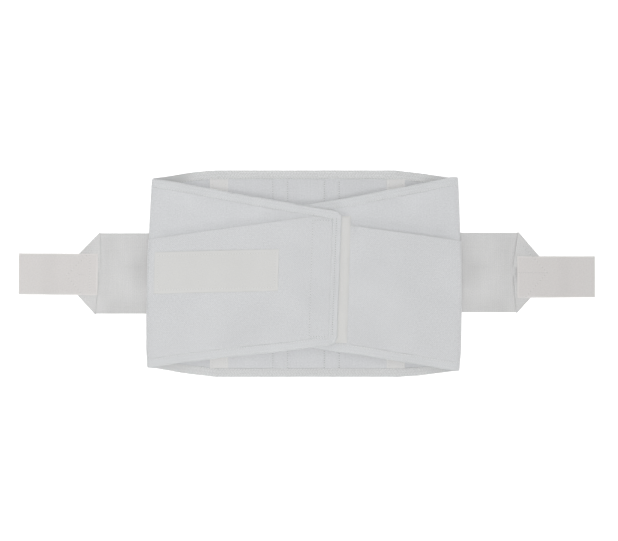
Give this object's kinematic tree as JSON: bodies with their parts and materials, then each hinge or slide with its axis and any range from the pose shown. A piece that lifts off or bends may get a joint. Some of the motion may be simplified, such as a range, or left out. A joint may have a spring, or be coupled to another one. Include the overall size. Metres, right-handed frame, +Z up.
{
  "type": "back support belt",
  "caption": "Wide lumbar back support belt in pale cloth, closed into a flat loop, with lapped front ends, bound edges and elastic side straps ending in hook tape tabs.",
  "frame": {"origin": "middle of the back panel's outer face, which lies on the floor", "axes": "+X along the belt towards the wearer's left, +Y up the wearer's back, +Z up from the floor towards the belt's front"},
  "size_m": [0.6973, 0.25, 0.0293],
  "materials": {
    "panel_cloth": "matt pale grey knitted cloth",
    "loop_cloth": "matt pale grey brushed loop cloth",
    "binding_cloth": "matt pale grey folded edge binding",
    "cream_tape": "cream hook and loop tape with a faint sheen",
    "elastic": "matt ribbed pale grey elastic webbing"
  },
  "bodies": {
    "root": {"back_panel": "panel_cloth", "left_panel": "panel_cloth", "right_panel": "panel_cloth", "left_overlay": "loop_cloth", "right_overlay": "loop_cloth", "back_binding_top": "binding_cloth", "back_binding_bottom": "binding_cloth", "left_binding": "binding_cloth", "right_binding": "binding_cloth", "left_seam_tape": "cream_tape", "right_seam_tape": "cream_tape", "front_patch": "cream_tape", "closure_tape": "cream_tape", "left_strap": "elastic", "right_strap": "elastic", "left_tab": "cream_tape", "right_tab": "cream_tape"}
  },
  "joints": []
}
